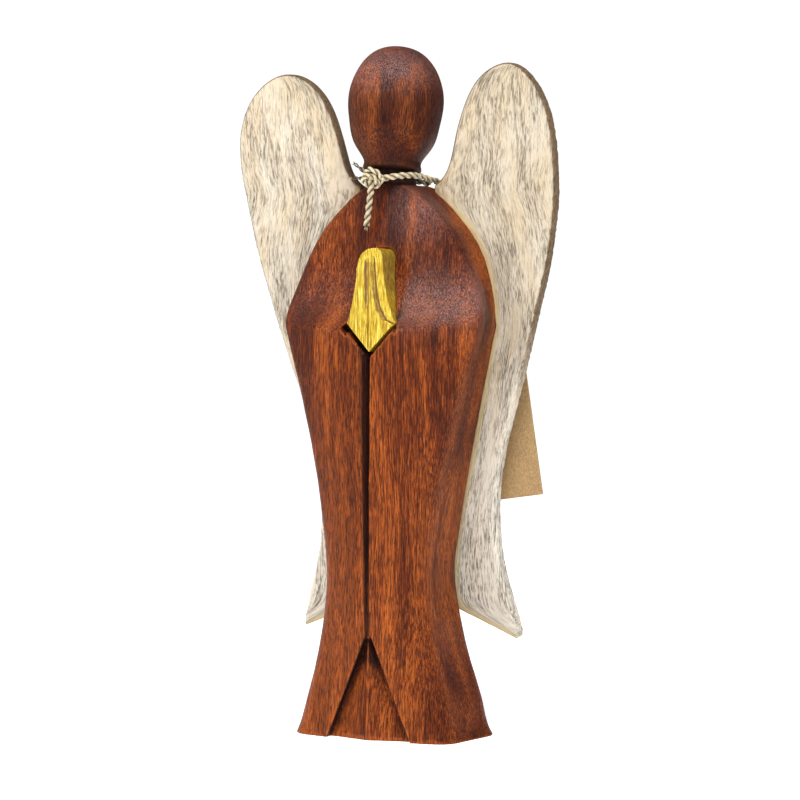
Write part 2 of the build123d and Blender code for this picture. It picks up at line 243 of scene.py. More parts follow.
def sway(points, scale, seed):
    """Smooth uneven field between -1 and 1."""
    shift = Vector((seed, seed * 1.7, seed * 0.6))
    return np.array([noise.noise(Vector(p) * scale + shift) for p in points])


def bell(values, width):
    return np.exp(-(values / width) ** 2)


def rising(values, start, width):
    """0 up to the start, growing to 1 over the width."""
    return np.clip((values - start) / width, 0, 1)


def falling(values, end, width):
    """1 until it fades over the width, reaching 0 at the end."""
    return np.clip((end - values) / width, 0, 1)


# ---- shader helpers --------------------------------------------------------------------------
def new_node(tree, kind, inputs=None, **settings):
    made = tree.nodes.new(kind)
    for key, value in settings.items():
        setattr(made, key, value)
    for key, value in (inputs or {}).items():
        if isinstance(value, bpy.types.NodeSocket):
            tree.links.new(value, made.inputs[key])
        else:
            made.inputs[key].default_value = value
    return made


def ramp(tree, source, stops):
    made = tree.nodes.new("ShaderNodeValToRGB")
    tree.links.new(source, made.inputs["Fac"])
    elements = made.color_ramp.elements
    while len(elements) < len(stops):
        elements.new(0.5)
    for element, (position, value) in zip(elements, stops):
        element.position = position
        element.color = (*value, 1.0) if isinstance(value, (tuple, list)) else (value, value, value, 1.0)
    return made.outputs["Color"]


def maths(tree, operation, a, b=0.0, clamp=False):
    made = tree.nodes.new("ShaderNodeMath")
    made.operation = operation
    made.use_clamp = clamp
    for socket, value in zip(made.inputs, (a, b)):
        if isinstance(value, bpy.types.NodeSocket):
            tree.links.new(value, socket)
        else:
            socket.default_value = value
    return made.outputs[0]


def mix_rgba(tree, share, low, high):
    made = tree.nodes.new("ShaderNodeMix")
    made.data_type = "RGBA"
    sockets = (made.inputs[0], made.inputs[6], made.inputs[7])
    for socket, value in zip(sockets, (share, low, high)):
        if isinstance(value, bpy.types.NodeSocket):
            tree.links.new(value, socket)
        elif isinstance(value, float):
            socket.default_value = value
        else:
            socket.default_value = (*value, 1.0)
    return made.outputs[2]


def tinted(tree, base, mask, share, tint):
    """A base colour with a share of a tint laid over it through a mask."""
    return mix_rgba(tree, maths(tree, "MULTIPLY", mask, share), base, tint)


def group(name, inputs, outputs):
    tree = bpy.data.node_groups.new(name, "ShaderNodeTree")
    for label, kind, default in inputs:
        socket = tree.interface.new_socket(label, in_out="INPUT", socket_type=kind)
        if default is not None:
            socket.default_value = default
    for label, kind in outputs:
        tree.interface.new_socket(label, in_out="OUTPUT", socket_type=kind)
    return tree, tree.nodes.new("NodeGroupInput").outputs, tree.nodes.new("NodeGroupOutput").inputs


def stretched_noise(tree, vector, scale, detail, roughness, distortion=0.0):
    """Noise whose features are 1/scale millimetres long on each axis."""
    shaped = new_node(tree, "ShaderNodeMapping", {"Vector": vector, "Scale": scale}, vector_type="POINT")
    made = new_node(tree, "ShaderNodeTexNoise",
                    {"Vector": shaped.outputs[0], "Scale": 1.0, "Detail": detail, "Roughness": roughness,
                     "Distortion": distortion})
    return made.outputs["Fac"]


def build_streak_group():
    """Thin crisp strokes along the grain: narrow where a stretched noise crosses its middle."""
    tree, given, out = group("Grain strokes",
                             [("Vector", "NodeSocketVector", None), ("Fineness", "NodeSocketFloat", 1.0),
                              ("Width", "NodeSocketFloat", 0.02)],
                             [("Stroke", "NodeSocketFloat")])
    scaled = new_node(tree, "ShaderNodeVectorMath", {0: given["Vector"], "Scale": given["Fineness"]},
                      operation="SCALE").outputs[0]
    wave = stretched_noise(tree, scaled, (1.0, 1.0, 0.050), 3.0, 0.62)
    gaps = stretched_noise(tree, scaled, (0.9, 0.9, 0.11), 2.0, 0.5)
    off = maths(tree, "ABSOLUTE", maths(tree, "SUBTRACT", wave, 0.5))
    line = maths(tree, "SUBTRACT", 1.0, maths(tree, "DIVIDE", off, given["Width"]), clamp=True)
    broken = ramp(tree, gaps, [(0.44, 0.0), (0.54, 1.0)])
    tree.links.new(maths(tree, "MULTIPLY", line, broken), out["Stroke"])
    return tree


def build_grain_group():
    """Upright timber grain: broad growth bands, fine fibres and short dark pores."""
    tree, given, out = group("Timber grain",
                             [("Vector", "NodeSocketVector", None)],
                             [("Band", "NodeSocketFloat"), ("Fibre", "NodeSocketFloat"),
                              ("Pore", "NodeSocketFloat"), ("Height", "NodeSocketFloat")])
    wander = new_node(tree, "ShaderNodeTexNoise", {"Vector": given["Vector"], "Scale": 0.014, "Detail": 1.0})
    drift = new_node(tree, "ShaderNodeVectorMath", {0: wander.outputs["Color"], 1: (9.0, 9.0, 0.0)},
                     operation="MULTIPLY")
    place = new_node(tree, "ShaderNodeVectorMath", {0: given["Vector"], 1: drift.outputs[0]}, operation="ADD")
    band = stretched_noise(tree, place.outputs[0], (0.10, 0.10, 0.0060), 2.0, 0.45, 0.4)
    fibre = stretched_noise(tree, place.outputs[0], (1.9, 1.9, 0.045), 5.0, 0.70)
    fine = stretched_noise(tree, place.outputs[0], (2.7, 2.7, 0.19), 3.0, 0.66)
    pore = ramp(tree, fine, [(0.49, 0.0), (0.58, 1.0)])
    height = maths(tree, "SUBTRACT", maths(tree, "MULTIPLY", fibre, 0.8), maths(tree, "MULTIPLY", pore, 0.55))
    for label, value in (("Band", band), ("Fibre", fibre), ("Pore", pore), ("Height", height)):
        tree.links.new(value, out[label])
    return tree


def build_wear_and_light_group():
    """Breaks an edge or hollow mask up, so that wear, and the painted highlight and shade carried in these
    masks, look rubbed and not drawn.
    """
    tree, given, out = group("Rubbed wear and painted light",
                             [("Vector", "NodeSocketVector", None), ("Mask", "NodeSocketFloat", 0.0),
                              ("Breakup", "NodeSocketFloat", 0.5)],
                             [("Wear and light", "NodeSocketFloat")])
    patchy = new_node(tree, "ShaderNodeTexNoise", {"Vector": given["Vector"], "Scale": 0.35, "Detail": 4.0,
                                                  "Roughness": 0.65})
    loss = maths(tree, "MULTIPLY", patchy.outputs["Fac"], given["Breakup"])
    kept = maths(tree, "SUBTRACT", given["Mask"], loss, clamp=True)
    tree.links.new(maths(tree, "MULTIPLY", kept, 2.2, clamp=True), out["Wear and light"])
    return tree


def material(name):
    made = bpy.data.materials.new(name + "_finish")
    made.use_nodes = True
    tree = made.node_tree
    shader = tree.nodes["Principled BSDF"]
    coords = new_node(tree, "ShaderNodeTexCoord")
    in_mm = new_node(tree, "ShaderNodeVectorMath", {0: coords.outputs["Object"], 1: (1000.0, 1000.0, 1000.0)},
                     operation="MULTIPLY")
    return made, tree, shader, in_mm.outputs[0]


def use_group(tree, which, **inputs):
    return new_node(tree, "ShaderNodeGroup", inputs, node_tree=which).outputs


def mask_of(tree, name):
    return new_node(tree, "ShaderNodeAttribute", attribute_name=name).outputs["Fac"]


def bump(tree, shader, height, distance, strength):
    made = new_node(tree, "ShaderNodeBump", {"Height": height, "Distance": distance, "Strength": strength})
    tree.links.new(made.outputs["Normal"], shader.inputs["Normal"])


def stained_wood(groups, colours):
    made, tree, shader, place = material("stained_wood")
    pale = tuple(colours.stain_light)
    grain = use_group(tree, groups["grain"], Vector=place)
    tone = maths(tree, "ADD", maths(tree, "MULTIPLY", grain["Band"], 0.50),
                 maths(tree, "MULTIPLY", grain["Fibre"], 0.70))
    wood = ramp(tree, tone, [(0.45, tuple(colours.stain_dark)), (0.60, tuple(colours.stain_mid)),
                             (0.74, pale)])
    # a paler patch low on the robe's front
    wood = tinted(tree, wood, mask_of(tree, "pale_patch"), 0.42, pale)
    # the edge mask lightens rubbed edges, and along ridges it is a painted highlight
    edge = use_group(tree, groups["wear"], Vector=place, Mask=mask_of(tree, "edge"), Breakup=0.45)
    wood = tinted(tree, wood, edge["Wear and light"], 0.65, pale)
    wood = tinted(tree, wood, grain["Pore"], 0.68, PORE_STAIN)
    stroke = use_group(tree, groups["streak"], Vector=place, Fineness=1.15, Width=0.050)["Stroke"]
    wood = tinted(tree, wood, stroke, 0.75, LINE_STAIN)
    # painted shade: the hollow and shade masks darken the wood towards a near-black, which also gives the
    # face its darker stain
    painted_shade_and_stain = maths(tree, "MAXIMUM", maths(tree, "MULTIPLY", mask_of(tree, "hollow_shade_and_wear"), 0.94),
                  maths(tree, "MULTIPLY", mask_of(tree, "painted_shade_and_stain"), 0.90))
    wood = mix_rgba(tree, painted_shade_and_stain, wood, PAINTED_SHADE_AND_STAIN)
    # painted sheen: a grey tint in spots over the upward faces
    sheen = stretched_noise(tree, place, (2.2, 2.2, 0.9), 4.0, 0.8)
    sheen = maths(tree, "MULTIPLY", ramp(tree, sheen, [(0.46, 0.0), (0.62, 1.0)]), mask_of(tree, "painted_sheen"))
    wood = tinted(tree, wood, sheen, 0.62, tuple(colours.painted_sheen))
    tree.links.new(wood, shader.inputs["Base Color"])
    rough = ramp(tree, grain["Fibre"], [(0.3, 0.46), (0.7, 0.30)])
    tree.links.new(rough, shader.inputs["Roughness"])
    polish = maths(tree, "ADD", maths(tree, "MULTIPLY", mask_of(tree, "painted_sheen"), 0.20), 0.11)
    tree.links.new(polish, shader.inputs["Specular IOR Level"])
    relief = maths(tree, "SUBTRACT", grain["Height"], maths(tree, "MULTIPLY", stroke, 0.5))
    bump(tree, shader, relief, 0.22 * MM, 0.80)
    return made


def whitewashed_wood(groups, colours):
    made, tree, shader, place = material("whitewashed_wood")
    flow = new_node(tree, "ShaderNodeAttribute", attribute_name="flow").outputs["Vector"]
    along = new_node(tree, "ShaderNodeVectorMath", {0: flow, 1: (1000.0, 1000.0, 1000.0)},
                     operation="MULTIPLY").outputs[0]
    patches = stretched_noise(tree, along, (0.13, 0.13, 0.026), 4.0, 0.60)
    warm = stretched_noise(tree, along, (0.10, 0.10, 0.024), 3.0, 0.55)
    fuzz = stretched_noise(tree, along, (2.3, 2.3, 0.15), 4.0, 0.72)
    wash = mix_rgba(tree, ramp(tree, warm, [(0.42, 0.0), (0.62, 0.80)]), tuple(colours.wash), WARM_WASH)
    wash = mix_rgba(tree, ramp(tree, patches, [(0.46, 0.0), (0.62, 0.50)]), wash, THIN_WASH)
    # browner towards the wings' tops
    wash = mix_rgba(tree, mask_of(tree, "browner_top"), wash, BROWNER_TOP_WASH)
    # painted light: the wings' lower parts lightened
    wash = tinted(tree, wash, mask_of(tree, "painted_light_low"), 0.55, LOW_PAINTED_LIGHT)
    coarse = use_group(tree, groups["streak"], Vector=along, Fineness=0.95, Width=0.075)["Stroke"]
    hairs = use_group(tree, groups["streak"], Vector=along, Fineness=1.9, Width=0.080)["Stroke"]
    worn = ramp(tree, patches, [(0.38, 0.20), (0.58, 1.0)])
    rubbed = maths(tree, "MAXIMUM", coarse, ramp(tree, fuzz, [(0.60, 0.0), (0.70, 0.8)]))
    bare = maths(tree, "MULTIPLY", rubbed, worn)
    hair_mask = maths(tree, "MULTIPLY", hairs, ramp(tree, patches, [(0.34, 0.35), (0.56, 1.0)]))
    wash = tinted(tree, wash, hair_mask, 0.72, HAIRLINE)
    wash = tinted(tree, wash, bare, 0.88, tuple(colours.wash_streak))
    edge = use_group(tree, groups["wear"], Vector=place, Mask=mask_of(tree, "rim"), Breakup=0.60)
    splinters = stretched_noise(tree, place, (0.9, 0.9, 0.5), 4.0, 0.72)
    splinters = ramp(tree, splinters, [(0.44, 0.0), (0.58, 1.0)])
    rim = mix_rgba(tree, splinters, tuple(colours.wash_edge), SPLINTER)
    wash = tinted(tree, wash, edge["Wear and light"], 0.88, rim)
    wash = tinted(tree, wash, mask_of(tree, "housed"), 0.80, SIZED_EDGE)
    # dark brown spots at the top of each wing's housed edge
    wash = tinted(tree, wash, mask_of(tree, "inner_corner_spots"), 0.85, INNER_CORNER_BROWN)
    tree.links.new(wash, shader.inputs["Base Color"])
    shader.inputs["Roughness"].default_value = 0.75
    shader.inputs["Specular IOR Level"].default_value = 0.25
    cut = maths(tree, "ADD", maths(tree, "MULTIPLY", bare, 0.7), maths(tree, "MULTIPLY", hair_mask, 0.5))
    bump(tree, shader, maths(tree, "SUBTRACT", 1.0, cut), 0.18 * MM, 0.8)
    return made


def gilding(groups, colours):
    made, tree, shader, place = material("gilding")
    streak = stretched_noise(tree, place, (1.9, 1.9, 0.16), 5.0, 0.66)
    fleck = stretched_noise(tree, place, (1.6, 1.6, 1.1), 4.0, 0.7)
    tone = ramp(tree, streak, [(0.36, DULL_GOLD), (0.50, tuple(colours.gold)), (0.66, BRIGHT_GOLD)])
    # the hollow mask browns the gold in the hands' hollows: partly wear, partly painted shade
    hollow_shade_and_wear = use_group(tree, groups["wear"], Vector=place, Mask=mask_of(tree, "hollow_shade_and_wear"), Breakup=0.42)
    # the worn mask: gold rubbed thin, and painted shade in the seam and beside the fold
    rubbed = use_group(tree, groups["wear"], Vector=place, Mask=mask_of(tree, "worn"), Breakup=0.75)
    specks = ramp(tree, fleck, [(0.60, 0.0), (0.70, 0.8)])
    bare = maths(tree, "MAXIMUM", maths(tree, "MAXIMUM", hollow_shade_and_wear["Wear and light"], rubbed["Wear and light"]),
                 maths(tree, "MULTIPLY", specks, 0.5))
    paint = tinted(tree, tone, bare, 0.9, tuple(colours.gold_wear))
    tree.links.new(paint, shader.inputs["Base Color"])
    metal = maths(tree, "SUBTRACT", 0.45, maths(tree, "MULTIPLY", bare, 0.45), clamp=True)
    tree.links.new(metal, shader.inputs["Metallic"])
    tree.links.new(ramp(tree, bare, [(0.0, 0.36), (1.0, 0.60)]), shader.inputs["Roughness"])
    bump(tree, shader, maths(tree, "ADD", streak, maths(tree, "MULTIPLY", bare, -0.5)), 0.26 * MM, 0.9)
    return made


def straw_twine(groups, colours):
    made, tree, shader, place = material("twine")
    along = new_node(tree, "ShaderNodeAttribute", attribute_name="strand").outputs["Vector"]
    fibre = stretched_noise(tree, along, (7.0, 0.35, 1.0), 4.0, 0.7)
    patch = new_node(tree, "ShaderNodeTexNoise", {"Vector": place, "Scale": 0.55, "Detail": 3.0})
    tone = maths(tree, "ADD", maths(tree, "MULTIPLY", fibre, 0.7),
                 maths(tree, "MULTIPLY", patch.outputs["Fac"], 0.35))
    straw = ramp(tree, tone, [(0.36, DARK_STRAW), (0.52, tuple(colours.straw)), (0.68, PALE_STRAW)])
    # painted shade in the creases between the plies
    straw = tinted(tree, straw, mask_of(tree, "crease"), 0.95, STRAW_CREASE_SHADE)
    tree.links.new(straw, shader.inputs["Base Color"])
    shader.inputs["Roughness"].default_value = 0.80
    shader.inputs["Specular IOR Level"].default_value = 0.25
    bump(tree, shader, fibre, 0.12 * MM, 0.8)
    return made


def kraft_card(groups, colours):
    made, tree, shader, place = material("kraft_card")
    pulp = stretched_noise(tree, place, (1.7, 1.7, 1.0), 5.0, 0.75)
    fleck = new_node(tree, "ShaderNodeTexNoise", {"Vector": place, "Scale": 2.6, "Detail": 3.0})
    dark = tuple(c * 0.62 for c in colours.kraft)
    pale = tuple(min(1.0, c * 1.35) for c in colours.kraft)
    card = ramp(tree, pulp, [(0.32, dark), (0.50, tuple(colours.kraft)), (0.70, pale)])
    card = mix_rgba(tree, ramp(tree, fleck.outputs["Fac"], [(0.66, 0.0), (0.74, 0.7)]), card, CARD_FLECK)
    tree.links.new(card, shader.inputs["Base Color"])
    shader.inputs["Roughness"].default_value = 0.86
    shader.inputs["Specular IOR Level"].default_value = 0.2
    bump(tree, shader, pulp, 0.06 * MM, 0.6)
    return made


def dowel_wood(groups, colours):
    made, tree, shader, place = material("dowel_wood")
    turned = new_node(tree, "ShaderNodeVectorRotate", {"Vector": place, "Angle": math.pi / 2},
                      rotation_type="Y_AXIS").outputs[0]
    grain = use_group(tree, groups["grain"], Vector=turned)
    dark = tuple(c * 0.5 for c in colours.dowel)
    wood = ramp(tree, grain["Fibre"], [(0.34, dark), (0.58, tuple(colours.dowel))])
    tree.links.new(wood, shader.inputs["Base Color"])
    shader.inputs["Roughness"].default_value = 0.6
    bump(tree, shader, grain["Height"], 0.08 * MM, 0.5)
    return made


FINISHES = {"stained_wood": stained_wood, "whitewashed_wood": whitewashed_wood, "gilding": gilding,
            "twine": straw_twine, "kraft_card": kraft_card, "dowel_wood": dowel_wood}
GROUPS = {"grain": ("Timber grain", build_grain_group), "wear": ("Rubbed wear and painted light", build_wear_and_light_group),
          "streak": ("Grain strokes", build_streak_group)}


def finish_named(slot_name):
    """The material of a slot, made the first time that a piece asks for it."""
    finish = slot_name + "_finish"
    if finish not in bpy.data.materials:
        groups = {key: bpy.data.node_groups.get(name) or build() for key, (name, build) in GROUPS.items()}
        FINISHES[slot_name](groups, bpy.context.scene.angel_colours)
    return bpy.data.materials[finish]


def finish_piece(obj, slot_name, body, *nodes):
    obj.data.materials.clear()
    obj.data.materials.append(finish_named(slot_name))
    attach(obj, body)
    if nodes:
        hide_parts(*nodes)


def finish_node(node, slot_name):
    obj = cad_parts[node]
    for entry in obj.material_slots:
        entry.material = finish_named(slot_name)


# ---- pieces ----------------------------------------------------------------------------------
def carve_block(block, sizes):
    """The elbow ledge dishes towards the hands, its crest is rounded, and the whole skin strays a little."""
    points = read_points(block)
    ledge_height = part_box("praying_hands")[0][2] + LEDGE_OVER_HANDS
    front = points[:, 1] < -8 * MM
    near = bell(points[:, 2] - ledge_height, 9 * MM)
    inward = np.clip(1 - np.abs(points[:, 0]) / (40 * MM), 0, 1) ** 1.2
    points[:, 2] -= front * near * inward * sizes.ledge_dip * (np.abs(points[:, 0]) > 11 * MM)
    stray = 0.7 * sway(points, 62, 3.0) + 0.3 * sway(points, 170, 8.0)
    standing = np.clip(points[:, 2] / (2 * MM), 0, 1)
    points += read_normals(block) * (stray * standing * sizes.hand_sway)[:, None]
    points[:, 2] = np.clip(points[:, 2], 0.0, CAD_BOX[1][2])
    round_over = softened(block, points, 45)
    crest = bell(points[:, 2] - ledge_height, 6 * MM) * front * (np.abs(points[:, 0]) > 15.5 * MM)
    points += (round_over - points) * crest[:, None]
    write_points(block, points)


def neck_shade(points, normals):
    """Painted shade under the chin, weaker on faces that turn upwards."""
    round_neck = np.hypot(points[:, 0], points[:, 1] + 2 * MM) < 19 * MM
    return bell(points[:, 2] - NECK_HEIGHT, 7 * MM) * round_neck * falling(normals[:, 2], 1.25, 1.0)


def chest_shade(points):
    """Two dark bands down the chest: partly darker grain in the wood, partly painted shade beside the hands.
    """
    across, height = points[:, 0], points[:, 2]
    middle = bell(across - 4.5 * MM, 3.4 * MM) * bell(height - 222 * MM, 17 * MM) * 0.72
    beside = bell(across - 15 * MM, 3.0 * MM) * bell(height - 206 * MM, 14 * MM) * 0.30
    return (middle + beside) * (points[:, 1] < -5 * MM)


def groove_shade(points, normals):
    """Painted shade in the robe's centre line: on the wall that faces the figure's left, along the narrow
    slot low down, and spread over its lip on one side.
    """
    across, height = points[:, 0], points[:, 2]
    near = (np.abs(across) < 6 * MM) & (points[:, 1] < -12 * MM)
    near &= (height < GROOVE_TOP) & (height > GROOVE_FOOT)
    wall = rising(normals[:, 0], 0.22, 0.2)
    narrow = (height < 105 * MM) * bell(across + 0.1 * MM, 0.75 * MM)
    spread = np.interp(height, [GROOVE_FOOT, 100 * MM, GROOVE_TOP], [0.5 * MM, 0.9 * MM, 2.2 * MM])
    brink = np.interp(height, [GROOVE_FOOT, GROOVE_TOP], [1.1 * MM, 3.4 * MM])
    lip = np.where(across < 0, bell(np.minimum(across + brink, 0), spread), 0) * 0.86
    return near * np.maximum(wall, np.maximum(narrow, lip))


def recess_shade(points):
    """Painted shade on the floor of the notch that the hands sit in."""
    near = (np.abs(points[:, 0] + 1 * MM) < RECESS_REACH) & (points[:, 1] < -14 * MM)
    near &= np.abs(points[:, 2] - RECESS_HEIGHT) < 14 * MM
    return near * rising(points[:, 1], RECESS_FLOOR, 1.5 * MM) * 0.9


def panel_shade(points, normals):
    """Painted shade on the steep walls beside the hem's inset panel."""
    near = (np.abs(points[:, 0]) < PANEL_REACH) & (points[:, 1] < -16 * MM) & (points[:, 2] < PANEL_TOP)
    return near * rising(np.abs(normals[:, 0]), 0.45, 0.2)


def pale_front_patch(points, normals):
    """Paler colour low on the robe's front, on the figure's right."""
    return (bell(points[:, 2] - 40 * MM, 85 * MM) * falling(points[:, 0], -3 * MM, 5 * MM)
            * falling(normals[:, 1], 0.0, 1 / 3))


def painted_sheen_areas(points, normals):
    """Painted sheen: a grey tint on the crown, the sleeves' tops and one shoulder, the upward faces where
    highlights fall.
    """
    across, deep, height = points.T
    crown = bell(height - CROWN_HEIGHT, 10 * MM) * falling(normals[:, 1], 0.35, 1.0)
    sleeve = bell(height - SLEEVE_HEIGHT, 12 * MM) * (deep < -6 * MM) * (0.25 + (across > 12 * MM))
    shoulder = bell(height - SHOULDER_HEIGHT, 12 * MM) * (deep < -4 * MM) * bell(across - 17 * MM, 12 * MM)
    return crown + sleeve * rising(normals[:, 2], -0.45, 1.0) + 0.7 * shoulder


class ANGEL_OT_figure(bpy.types.Operator):
    """Carved block: egg head, neck, folded arms and robe"""
    bl_idname = "angel.figure"
    bl_label = "Carved block"

    def execute(self, context):
        sizes = context.scene.angel_sizes
        block = merged_copy("carved_figure", "carved_block")
        carve_skin(block, sizes.figure_grid, 2)
        carve_block(block, sizes)
        thin_out(block, BLOCK_TRIANGLES)
        mark_relief(block, 18, 0.46 * MM)
        points, normals = read_points(block), read_normals(block)
        # the face's darker stain is the wood's own tone; it goes into the same mask as the painted shade
        face = bell(points[:, 2] - FACE_HEIGHT, 17 * MM) * 0.60
        painted_shade_and_stain = (neck_shade(points, normals) + chest_shade(points) + groove_shade(points, normals)
                 + panel_shade(points, normals) + face + recess_shade(points))
        add_mask(block, "painted_shade_and_stain", np.clip(painted_shade_and_stain, 0, 1))
        add_mask(block, "pale_patch", pale_front_patch(points, normals))
        # the painted sheen's mask: crown, sleeves' tops and one shoulder
        add_mask(block, "painted_sheen", np.clip(painted_sheen_areas(points, normals), 0, 1))
        finish_piece(block, "stained_wood", "figure", "carved_figure")
        return {"FINISHED"}


class ANGEL_OT_hands(bpy.types.Operator):
    """Praying hands: two gilded palms with a seam between them, a fold down the figure's left hand and one
    crease on the front
    """
    bl_idname = "angel.hands"
    bl_label = "Praying hands"

    def execute(self, context):
        sizes = context.scene.angel_sizes
        hands = merged_copy("praying_hands", "gilded_hands")
        carve_skin(hands, sizes.hands_grid, 5)
        points = read_points(hands)
        low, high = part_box("praying_hands")
        rise = (points[:, 2] - low[2]) / (high[2] - low[2])
        across = points[:, 0].copy()
        past_fold = across - np.interp(rise, FOLD_RISE, FOLD_REACH)
        ends = rising(rise, 0.0, 0.06) * falling(rise, 0.93, 0.08)
        self.carve(hands, points, rise, across, past_fold, ends, sizes.seam_depth)
        write_points(hands, points)
        mark_relief(hands, 16, 0.26 * MM)
        add_mask(hands, "worn", self.gold_wear_and_painted_shade(hands, rise, across, past_fold, ends))
        finish_piece(hands, "gilding", "figure", "praying_hands")
        return {"FINISHED"}

    def carve(self, hands, points, rise, across, past_fold, ends, seam_depth):
        """Cuts the seam, the fold and the crease into the front, and slants the fingertips."""
        facing = np.clip(-read_normals(hands)[:, 1] * 1.4 - 0.2, 0, 1)
        seam = bell(across + 1.5 * MM, 0.9 * MM) * seam_depth * rising(rise, 0.22, 0.2) * ends
        cut = bell(across + 0.55 * MM, 0.42 * MM) * 0.8 * MM * ends
        facet = np.where(past_fold > 0, np.exp(-np.clip(past_fold, 0, None) / (2.6 * MM)),
                         bell(past_fold, 0.5 * MM)) * 1.25 * MM
        facet *= falling(rise, 0.94, 0.10) * rising(rise, 0.20, 0.08)
        crease = bell(across + 4.4 * MM, 0.8 * MM) * 0.35 * MM * rising(rise, 0.45, 0.2) * ends
        points[:, 1] += facing * (seam + cut + facet + crease)
        fingertips = rising(rise, 0.80, 0.20)
        points[:, 2] -= fingertips * np.clip((4.0 * MM - across) / (9 * MM), 0, 1.2) * 2.0 * MM
        points[:, 0] += fingertips * falling(across, 0.0, 6 * MM) * 1.4 * MM
        points += read_normals(hands) * (sway(points, 260, 5.0) * 0.14 * MM)[:, None]

    def gold_wear_and_painted_shade(self, hands, rise, across, past_fold, ends):
        """Brown through the gold on the upper sides, along the seam and beside the fold: partly gold rubbed
        thin, partly painted shade in the seam, in the hollow beside the fold and on the sides.
        """
        side_on = np.clip(np.abs(read_normals(hands)[:, 0]) * 1.6 - 0.7, 0, 1)
        side_on *= 0.75 * rising(rise, 0.46, 0.14)
        seam = bell(across + 1.7 * MM, 0.8 * MM) * rising(rise, 0.30, 0.2) * ends
        fold = bell(past_fold + 0.9 * MM, 1.1 * MM) * rising(rise, 0.24, 0.1) * ends * 0.75
        return np.clip(np.maximum(side_on, np.maximum(seam, fold)), 0, 1)


class ANGEL_OT_wings(bpy.types.Operator):
    """Wing boards: whitewashed blades with rasped edges and worn grain"""
    bl_idname = "angel.wings"
    bl_label = "Wings"

    def execute(self, context):
        sizes = context.scene.angel_sizes
        for node, seed in (("left_wing", 11.0), ("right_wing", 23.0)):
            wing = merged_copy(node, node + "_board")
            carve_skin(wing, sizes.wing_grid, 4)
            self.shape(wing, sizes, seed)
            finish_piece(wing, "whitewashed_wood", "figure", node)
        return {"FINISHED"}

    def shape(self, wing, sizes, seed):
        """Rasp marks on the free edge, an uneven face, and masks for the finish."""
        points = read_points(wing)
        reach, height = np.abs(points[:, 0]), points[:, 2]
        inner, outer = self.edges(reach, height)
        from_housing = reach - inner
        flow = points.copy()
        hug = falling(from_housing, 16 * MM, 16 * MM)
        flow[:, 0] = reach - 0.275 * (inner + outer) * (1 - hug) - hug * inner * 0.9 + seed
        layer = wing.data.attributes.new("flow", "FLOAT_VECTOR", "POINT")
        layer.data.foreach_set("vector", np.ascontiguousarray(flow, dtype=np.float32).ravel())
        rim = falling(outer - reach, 2.2 * MM, 2.2 * MM)
        ridged = np.array([noise.noise(Vector((x * 620 + seed, y * 90, z * 620))) for x, y, z in points])
        normals = read_normals(wing)
        points[:, 0] -= np.sign(points[:, 0]) * rim * (0.4 + ridged) * sizes.edge_notch
        points += normals * (sway(points, 75, seed) * sizes.hand_sway * 0.8 - 0.05 * MM)[:, None]
        write_points(wing, points)
        height = points[:, 2]
        facing = np.abs(read_normals(wing) @ np.array([0.0, math.cos(WING_LEAN), math.sin(WING_LEAN)]))
        aloft = np.maximum(rising(height, 120 * MM, 80 * MM), 0.30)
        add_mask(wing, "rim", falling(facing, 0.93, 0.30) * aloft)
        # a browner wash towards the top of each wing, stronger on the figure's left wing
        top_share = np.where(points[:, 0] > 0, 0.45, 0.20)
        add_mask(wing, "browner_top", top_share * rising(height, 130 * MM, 60 * MM))
        # painted light on the lower part of each wing
        add_mask(wing, "painted_light_low", falling(height, 165 * MM, 60 * MM))
        housed = falling(from_housing, 4.8 * MM, 2.2 * MM) * falling(height, 236 * MM, 10 * MM)
        add_mask(wing, "housed", housed)
        # dark brown spots at the top of the housed edge, by the shoulder
        corner = bell(height - 237 * MM, 8 * MM) * falling(from_housing, 8 * MM, 8 * MM)
        spots = 0.5 + 0.9 * sway(points, 420, seed + 4)
        add_mask(wing, "inner_corner_spots", np.clip(corner * spots, 0, 1))

    def edges(self, reach, height):
        """How far out the board's housed edge and free edge are at each point's height."""
        rows = np.floor(height / MM).astype(int)
        rows -= rows.min()
        inner = np.full(rows.max() + 1, np.inf)
        outer = np.full(rows.max() + 1, -np.inf)
        np.minimum.at(inner, rows, reach)
        np.maximum.at(outer, rows, reach)
        centres = (np.arange(len(inner)) + 0.5) * MM + height.min()
        even = np.ones(9) / 9
        smooth = [np.convolve(np.pad(edge, 4, "edge"), even, "valid") for edge in (inner, outer)]
        return [np.interp(height, centres, edge) for edge in smooth]


class ANGEL_OT_dowels(bpy.types.Operator):
    """Hidden dowels between the wings and the block: finish only"""
    bl_idname = "angel.dowels"
    bl_label = "Dowels"

    def execute(self, context):
        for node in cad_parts:
            if node.endswith("_dowel"):
                finish_node(node, "dowel_wood")
        return {"FINISHED"}


